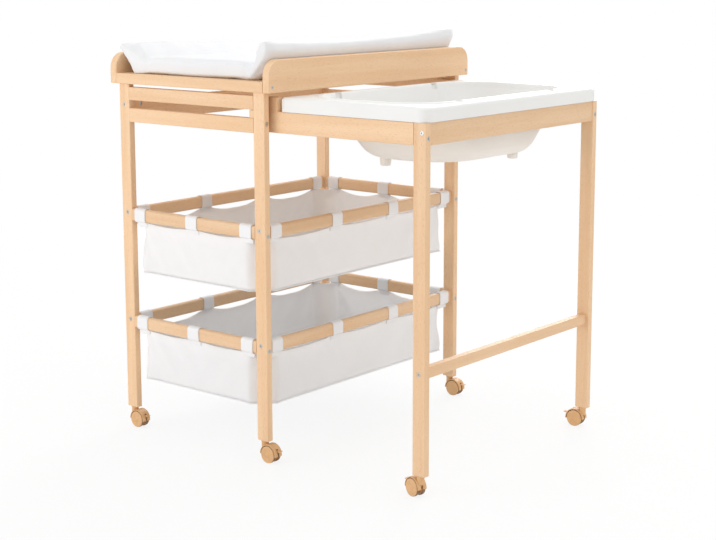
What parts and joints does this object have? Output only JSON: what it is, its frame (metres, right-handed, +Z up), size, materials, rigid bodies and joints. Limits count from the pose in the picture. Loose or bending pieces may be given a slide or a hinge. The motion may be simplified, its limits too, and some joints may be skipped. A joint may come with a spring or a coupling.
{
  "type": "changing table with bathtub",
  "caption": "Wheeled wooden changing table with a padded trough mat in its top tray, cloth storage baskets on rails, and a baby bath on a wheeled carriage that pulls out from under the tray.",
  "frame": {"origin": "on the floor under the middle of the whole object, with the bath carriage pulled out to its stop", "axes": "+X the way the bath carriage pulls out, +Y along the table's long side, +Z up"},
  "size_m": [0.9714, 0.788, 1.0123],
  "materials": {
    "beech": "clear satin lacquer on light beech",
    "tray_panel": "thin plain panel",
    "mat_cover": "white wipe-clean cover over foam",
    "basket_cloth": "white woven cloth",
    "bath_plastic": "white, softly glossy",
    "plug_rubber": "white, matte",
    "zinc_steel": "zinc plated",
    "dowel_wood": "bare",
    "caster_plastic": "beech-coloured, satin",
    "caster_wheel": "beech-coloured face, darker tread"
  },
  "bodies": {
    "table": {"post_front_left": "beech", "post_front_right": "beech", "post_back_left": "beech", "post_back_right": "beech", "front_guide_upper": "beech", "front_guide_lower": "beech", "back_guide_upper": "beech", "back_guide_lower": "beech", "left_long_board": "beech", "upper_front_basket_rail": "beech", "upper_back_basket_rail": "beech", "upper_left_basket_rail": "beech", "upper_right_basket_rail": "beech", "lower_front_basket_rail": "beech", "lower_back_basket_rail": "beech", "lower_left_basket_rail": "beech", "lower_right_basket_rail": "beech", "tray_front_rail": "beech", "tray_back_rail": "beech", "tray_left_board": "beech", "tray_right_board": "beech", "tray_floor": "tray_panel", "changing_mat": "mat_cover", "upper_basket": "basket_cloth", "lower_basket": "basket_cloth", "table_bolts": "zinc_steel", "table_barrel_nuts": "zinc_steel", "table_dowels": "dowel_wood", "tray_screws": "zinc_steel"},
    "carriage": {"tub_leg_front": "beech", "tub_leg_back": "beech", "tub_apron": "beech", "tub_crossbar": "beech", "tub_side_rail_front": "beech", "tub_side_rail_back": "beech", "tub_rear_rail": "beech", "tub_runners": "beech", "bathtub": "bath_plastic", "carriage_bolts": "zinc_steel", "carriage_barrel_nuts": "zinc_steel", "carriage_dowels": "dowel_wood"},
    "plug": {"drain_plug": "plug_rubber"},
    "swivel_front_left": {"caster_housing_front_left": "caster_plastic"},
    "wheels_front_left": {"caster_wheels_front_left": "caster_wheel"},
    "brake_front_left": {"caster_brake_front_left": "caster_plastic"},
    "swivel_front_right": {"caster_housing_front_right": "caster_plastic"},
    "wheels_front_right": {"caster_wheels_front_right": "caster_wheel"},
    "brake_front_right": {"caster_brake_front_right": "caster_plastic"},
    "swivel_back_left": {"caster_housing_back_left": "caster_plastic"},
    "wheels_back_left": {"caster_wheels_back_left": "caster_wheel"},
    "brake_back_left": {"caster_brake_back_left": "caster_plastic"},
    "swivel_back_right": {"caster_housing_back_right": "caster_plastic"},
    "wheels_back_right": {"caster_wheels_back_right": "caster_wheel"},
    "brake_back_right": {"caster_brake_back_right": "caster_plastic"},
    "swivel_tub_front": {"caster_housing_tub_front": "caster_plastic"},
    "wheels_tub_front": {"caster_wheels_tub_front": "caster_wheel"},
    "brake_tub_front": {"caster_brake_tub_front": "caster_plastic"},
    "swivel_tub_back": {"caster_housing_tub_back": "caster_plastic"},
    "wheels_tub_back": {"caster_wheels_tub_back": "caster_wheel"},
    "brake_tub_back": {"caster_brake_tub_back": "caster_plastic"}
  },
  "joints": [
    {"name": "tub_slide", "type": "slide", "parent": "table", "child": "carriage", "axis": [1, 0, 0], "range_m": [-0.4127, 0]},
    {"name": "drain_plug_lift", "type": "slide", "parent": "carriage", "child": "plug", "axis": [0, 0, 1], "range_m": [0, 0.012]},
    {"name": "swivel_front_left", "type": "hinge", "parent": "table", "child": "swivel_front_left", "pos_m": [-0.44425, -0.3775, 0.03], "axis": [0, 0, 1], "continuous": true},
    {"name": "wheels_front_left", "type": "hinge", "parent": "swivel_front_left", "child": "wheels_front_left", "pos_m": [-0.42625, -0.3775, 0.021], "axis": [0, 1, 0], "continuous": true},
    {"name": "brake_front_left", "type": "hinge", "parent": "swivel_front_left", "child": "brake_front_left", "pos_m": [-0.41425, -0.3775, 0.0315], "axis": [0, 1, 0], "range_deg": [0, 12]},
    {"name": "swivel_front_right", "type": "hinge", "parent": "table", "child": "swivel_front_right", "pos_m": [0.01875, -0.3775, 0.03], "axis": [0, 0, 1], "continuous": true},
    {"name": "wheels_front_right", "type": "hinge", "parent": "swivel_front_right", "child": "wheels_front_right", "pos_m": [0.03675, -0.3775, 0.021], "axis": [0, 1, 0], "continuous": true},
    {"name": "brake_front_right", "type": "hinge", "parent": "swivel_front_right", "child": "brake_front_right", "pos_m": [0.04875, -0.3775, 0.0315], "axis": [0, 1, 0], "range_deg": [0, 12]},
    {"name": "swivel_back_left", "type": "hinge", "parent": "table", "child": "swivel_back_left", "pos_m": [-0.44425, 0.3775, 0.03], "axis": [0, 0, 1], "continuous": true},
    {"name": "wheels_back_left", "type": "hinge", "parent": "swivel_back_left", "child": "wheels_back_left", "pos_m": [-0.42625, 0.3775, 0.021], "axis": [0, 1, 0], "continuous": true},
    {"name": "brake_back_left", "type": "hinge", "parent": "swivel_back_left", "child": "brake_back_left", "pos_m": [-0.41425, 0.3775, 0.0315], "axis": [0, 1, 0], "range_deg": [0, 12]},
    {"name": "swivel_back_right", "type": "hinge", "parent": "table", "child": "swivel_back_right", "pos_m": [0.01875, 0.3775, 0.03], "axis": [0, 0, 1], "continuous": true},
    {"name": "wheels_back_right", "type": "hinge", "parent": "swivel_back_right", "child": "wheels_back_right", "pos_m": [0.03675, 0.3775, 0.021], "axis": [0, 1, 0], "continuous": true},
    {"name": "brake_back_right", "type": "hinge", "parent": "swivel_back_right", "child": "brake_back_right", "pos_m": [0.04875, 0.3775, 0.0315], "axis": [0, 1, 0], "range_deg": [0, 12]},
    {"name": "swivel_tub_front", "type": "hinge", "parent": "carriage", "child": "swivel_tub_front", "pos_m": [0.46675, -0.3475, 0.03], "axis": [0, 0, 1], "continuous": true},
    {"name": "wheels_tub_front", "type": "hinge", "parent": "swivel_tub_front", "child": "wheels_tub_front", "pos_m": [0.44936, -0.34284, 0.021], "axis": [-0.2588, -0.9659, 0], "continuous": true},
    {"name": "brake_tub_front", "type": "hinge", "parent": "swivel_tub_front", "child": "brake_tub_front", "pos_m": [0.43777, -0.33974, 0.0315], "axis": [-0.2588, -0.9659, 0], "range_deg": [0, 12]},
    {"name": "swivel_tub_back", "type": "hinge", "parent": "carriage", "child": "swivel_tub_back", "pos_m": [0.46675, 0.3475, 0.03], "axis": [0, 0, 1], "continuous": true},
    {"name": "wheels_tub_back", "type": "hinge", "parent": "swivel_tub_back", "child": "wheels_tub_back", "pos_m": [0.44882, 0.34593, 0.021], "axis": [0.0872, -0.9962, 0], "continuous": true},
    {"name": "brake_tub_back", "type": "hinge", "parent": "swivel_tub_back", "child": "brake_tub_back", "pos_m": [0.43686, 0.34488, 0.0315], "axis": [0.0872, -0.9962, 0], "range_deg": [0, 12]}
  ]
}
